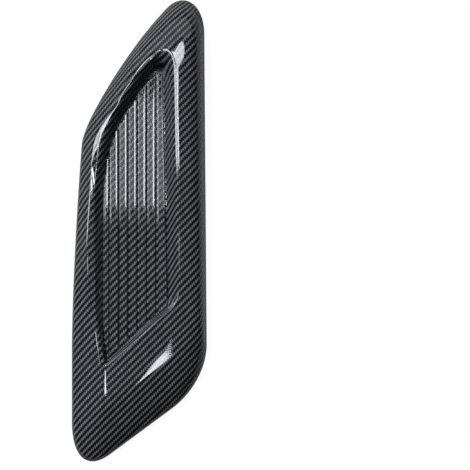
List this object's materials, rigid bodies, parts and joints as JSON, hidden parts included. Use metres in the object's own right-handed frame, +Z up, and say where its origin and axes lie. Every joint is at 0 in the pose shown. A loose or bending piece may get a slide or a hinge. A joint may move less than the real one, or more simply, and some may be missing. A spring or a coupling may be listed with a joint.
{
  "type": "bonnet scoop",
  "caption": "Long low stick-on bonnet scoop: a thin moulded shell, slanted at both ends, with a sunken recess floored by raised lengthwise slats, open underneath",
  "frame": {"origin": "middle of the flat foot, half way between the ends and between the sides, on the plane the scoop stands on", "axes": "+Y to the narrow high nose, +X to the long straight side, +Z up from the bonnet"},
  "size_m": [0.1258, 0.4296, 0.0255],
  "materials": {
    "scoop_shell": "gloss black plastic with a printed carbon twill on the outside"
  },
  "bodies": {
    "root": {"scoop_shell": "scoop_shell"}
  },
  "joints": []
}
